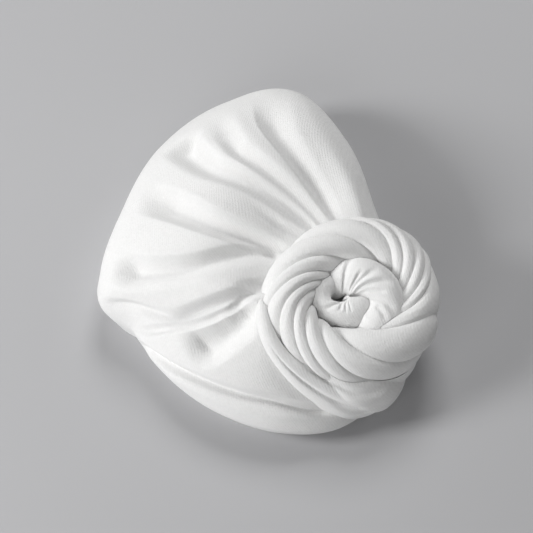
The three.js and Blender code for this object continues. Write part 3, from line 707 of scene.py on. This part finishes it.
def crescent_skin(sections, relief, frame_of_ring, centre, radius, tube, lift, grow=0.0):
    """A tube with rounded ends that follows its table from the first bearing to the last."""
    first, last = sections[0]["bearing"], sections[-1]["bearing"]
    sweep = last - first
    bearing = first + sweep * (1 - np.cos(np.linspace(0, math.pi, CRESCENT_STEPS))) / 2
    angle = SHOWN_TO - np.arange(CRESCENT_SIDES) * 360 / CRESCENT_SIDES
    from_end = np.minimum(bearing - first, last - bearing) / (END_SHARE * sweep)
    rounding = np.sqrt(1 - (1 - np.clip(from_end, 0, 1)) ** 2)[:, None]
    thickness = tube * follow(sections, "tube", bearing)[:, None] + relief(bearing, angle)
    points = tube_points(
        centre,
        frame_of_ring,
        np.repeat(bearing[:, None], CRESCENT_SIDES, 1),
        angle,
        radius * follow(sections, "radius", bearing)[:, None],
        thickness * rounding + grow,
        lift * follow(sections, "lift", bearing)[:, None],
    )
    ends = [points[0].mean(0), points[-1].mean(0)]
    return closed_skin(points[1:-1], ends)


ring_axis, ring_front, ring_side = ring_frame
hole_centre = ring_centre + ring_side * HOLE_SIDE + ring_front * HOLE_FRONT + ring_axis * HOLE_UP


def coil_skin(grow=0.0):
    def relief(bearing, angle):
        return wrinkle_height(COIL_WRINKLES, bearing, angle, COIL_RADIUS, COIL_TUBE)

    return crescent_skin(
        COIL_SECTIONS, relief, ring_frame, hole_centre, COIL_RADIUS, COIL_TUBE, COIL_TUBE, grow
    )


inner_coil = cloth_object("inner_roll", coil_skin())
cut_away(inner_coil, [around_ring, under_cap])
around_coil = cloth_object("around_coil", coil_skin(GAP))
inner_coil.data.materials.append(jersey)
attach(inner_coil, "root")
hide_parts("inner_coil")

# The tucked end: the last of the strip folds over into the middle of the rosette and is pushed
# down into its hole, with short wrinkles where it bends.
TUCK_RADIUS = 11.0
TUCK_TUBE = 8.0
TUCK_SECTIONS = [
    dict(bearing=150, radius=1, tube=0.5, lift=-0.38),
    dict(bearing=180, radius=1.14, tube=0.69, lift=-0.31),
    dict(bearing=205, radius=1.23, tube=0.75, lift=-0.25),
    dict(bearing=230, radius=1.23, tube=0.75, lift=-0.19),
    dict(bearing=255, radius=1.0, tube=0.86, lift=-0.17),
    dict(bearing=280, radius=0.78, tube=0.97, lift=-0.16),
    dict(bearing=305, radius=0.64, tube=1.05, lift=-0.16),
    dict(bearing=335, radius=0.6, tube=1.1, lift=-0.18),
    dict(bearing=365, radius=0.6, tube=1.1, lift=-0.2),
    dict(bearing=395, radius=0.56, tube=1.04, lift=-0.25),
    dict(bearing=425, radius=0.5, tube=0.9, lift=-0.4),
]

# Short wrinkles across the end where it bends into the hole, in the coil's columns.
TUCK_WRINKLES = [
    dict(line=[(262, 40), (266, 100), (270, 140)], depth=1.3, width=1.2),
    dict(line=[(292, 66), (287, 92), (278, 118)], depth=0.7, width=1.0),
    dict(line=[(310, 62), (304, 90), (294, 118)], depth=0.7, width=1.0),
    dict(line=[(326, 66), (319, 92), (308, 116)], depth=0.5, width=1.0),
]


def tuck_relief(bearing, angle):
    return wrinkle_height(TUCK_WRINKLES, bearing, angle, TUCK_RADIUS, TUCK_TUBE)


tuck_skin = crescent_skin(
    TUCK_SECTIONS, tuck_relief, ring_frame, hole_centre, TUCK_RADIUS, TUCK_TUBE, TUCK_TUBE
)
centre_tuck = cloth_object("tucked_end", tuck_skin)
cut_away(centre_tuck, [around_coil, around_ring, under_cap])
centre_tuck.data.materials.append(jersey)
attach(centre_tuck, "root")
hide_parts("centre_tuck")

# The wrap: the start of the strip comes out of the cap beside the rosette and passes under the
# ring round the front, where it lies on the surface that the cap stands on.
WRAP_RADIUS = 42.0
WRAP_TUBE = 12.0
WRAP_HEIGHT = 18.5
WRAP_RISE = 11.0
WRAP_SECTIONS = [
    dict(bearing=232, radius=1.02, tube=0.18, lift=2.15),
    dict(bearing=250, radius=1.06, tube=0.28, lift=2.1),
    dict(bearing=265, radius=1.105, tube=0.3, lift=1.85),
    dict(bearing=280, radius=1.085, tube=0.42, lift=1.3),
    dict(bearing=296, radius=1.01, tube=0.7, lift=0.55),
    dict(bearing=309, radius=0.955, tube=0.95, lift=0.05),
    dict(bearing=320, radius=0.955, tube=0.95, lift=-0.14),
    dict(bearing=336, radius=0.855, tube=1, lift=-0.27),
    dict(bearing=356, radius=0.7, tube=0.96, lift=-0.18),
    dict(bearing=375, radius=0.62, tube=0.92, lift=-0.09),
    dict(bearing=400, radius=0.59, tube=0.67, lift=0),
]

# Creases between the wrap's strands, in the ring's columns.
WRAP_CREASES = [
    dict(outer=232, top=232, inner=232, rise=0.3),
    dict(outer=327, top=297, inner=270, rise=0.92),
    dict(outer=356, top=328, inner=300, rise=0.67),
    dict(outer=400, top=400, inner=400, rise=0),
]

# Finer wrinkles that run along the wrap, in the coil's columns.
WRAP_WRINKLES = [
    dict(line=[(262, 62), (282, 48), (302, 36), (322, 24), (342, 10)], depth=1.4, width=1.4),
    dict(line=[(286, 96), (304, 76), (322, 58), (342, 40)], depth=1.2, width=1.5),
    dict(line=[(306, 30), (322, 6), (340, -14)], depth=1.2, width=1.6),
    dict(line=[(328, 84), (344, 62), (362, 44), (380, 30)], depth=1.2, width=1.5),
    dict(line=[(340, 4), (356, -6), (374, -10)], depth=1.0, width=1.5),
]


def wrap_relief(bearing, angle):
    wrinkles = wrinkle_height(WRAP_WRINKLES, bearing, angle, WRAP_RADIUS, WRAP_TUBE)
    return strand_height(WRAP_CREASES, bearing, angle) + wrinkles


level_frame = leaning_frame(0, 0)
wrap_skin = crescent_skin(
    WRAP_SECTIONS, wrap_relief, level_frame, UP * WRAP_HEIGHT, WRAP_RADIUS, WRAP_TUBE, WRAP_RISE
)
base_wrap = cloth_object("under_wrap", wrap_skin)
cut_away(base_wrap, [around_ring, under_cap])
for cutter in (under_cap, around_ring, around_coil):
    bpy.data.objects.remove(cutter)
base_wrap.data.materials.append(jersey)
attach(base_wrap, "root")
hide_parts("base_wrap")

# The room: a plain pale floor, a soft key lamp at the left, a high one behind, weaker ones at the
# front left and the right, and a faint even light. The camera stands at the photograph's angle.
FLOOR_SIZE = 6.0
FLOOR_COLOUR = (0.46, 0.46, 0.47)
FLOOR_ROUGHNESS = 0.8
floor_mesh = bpy.data.meshes.new("floor")
half = FLOOR_SIZE / 2
floor_corners = [(-half, -half, 0), (half, -half, 0), (half, half, 0), (-half, half, 0)]
floor_mesh.from_pydata(floor_corners, [], [(0, 1, 2, 3)])
floor = bpy.data.objects.new("floor", floor_mesh)
bpy.context.scene.collection.objects.link(floor)
pale = bpy.data.materials.new("pale_floor")
pale.use_nodes = True
pale_shader = pale.node_tree.nodes["Principled BSDF"]
pale_shader.inputs["Base Color"].default_value = (*FLOOR_COLOUR, 1)
pale_shader.inputs["Roughness"].default_value = FLOOR_ROUGHNESS
floor_mesh.materials.append(pale)

CAMERA_AZIMUTH, CAMERA_ELEVATION = math.radians(-40), math.radians(52.5)
CAMERA_LENS, CAMERA_SENSOR = 85.0, 36.0
CAMERA_DISTANCE = 0.6292
CAMERA_LOOKS_PAST_GATHER = np.array([-12.3, 48.6, 25.0])
CAMERA_TARGET = Vector((GATHER_POINT + CAMERA_LOOKS_PAST_GATHER).tolist()) * MM
towards_camera = Vector(
    (
        math.sin(CAMERA_AZIMUTH) * math.cos(CAMERA_ELEVATION),
        -math.cos(CAMERA_AZIMUTH) * math.cos(CAMERA_ELEVATION),
        math.sin(CAMERA_ELEVATION),
    )
)
camera_data = bpy.data.cameras.new("camera")
camera_data.lens, camera_data.sensor_width = CAMERA_LENS, CAMERA_SENSOR
camera_data.clip_start = 0.01
camera = bpy.data.objects.new("camera", camera_data)
bpy.context.scene.collection.objects.link(camera)
camera.location = CAMERA_TARGET + towards_camera * CAMERA_DISTANCE
camera.rotation_mode = "QUATERNION"
camera.rotation_quaternion = (-towards_camera).to_track_quat("-Z", "Y")
bpy.context.scene.camera = camera

picture_right = Vector((math.cos(CAMERA_AZIMUTH), math.sin(CAMERA_AZIMUTH), 0))
picture_back = Vector((-towards_camera.x, -towards_camera.y, 0)).normalized()

# Places and sizes in metres, along the picture's right and back, and powers in watts.
LAMPS = [
    dict(name="key", right=-1.02, back=-0.2, up=0.6, size=0.35, power=10.2),
    dict(name="high_back", right=0.1, back=0.75, up=0.95, size=0.5, power=7.0),
    dict(name="right_back", right=0.95, back=0.3, up=0.55, size=0.6, power=1.6),
    dict(name="front_left", right=-0.45, back=-1.0, up=0.5, size=0.7, power=4.8),
]
EVEN_LIGHT = 0.05


def soft_lamp(name, right, back, up, size, power):
    """A square lamp that faces the cap, placed by the picture's right and back."""
    data = bpy.data.lights.new(name, "AREA")
    data.shape = "SQUARE"
    data.size, data.energy = size, power
    lamp = bpy.data.objects.new(name, data)
    bpy.context.scene.collection.objects.link(lamp)
    lamp.location = picture_right * right + picture_back * back + Vector((0, 0, up))
    lamp.rotation_mode = "QUATERNION"
    lamp.rotation_quaternion = (CAMERA_TARGET - lamp.location).to_track_quat("-Z", "Y")


for lamp_row in LAMPS:
    soft_lamp(**lamp_row)
world = bpy.data.worlds.new("room")
world.use_nodes = True
world.node_tree.nodes["Background"].inputs["Color"].default_value = (1, 1, 1, 1)
world.node_tree.nodes["Background"].inputs["Strength"].default_value = EVEN_LIGHT
bpy.context.scene.world = world
bpy.context.scene.view_settings.view_transform = "Standard"
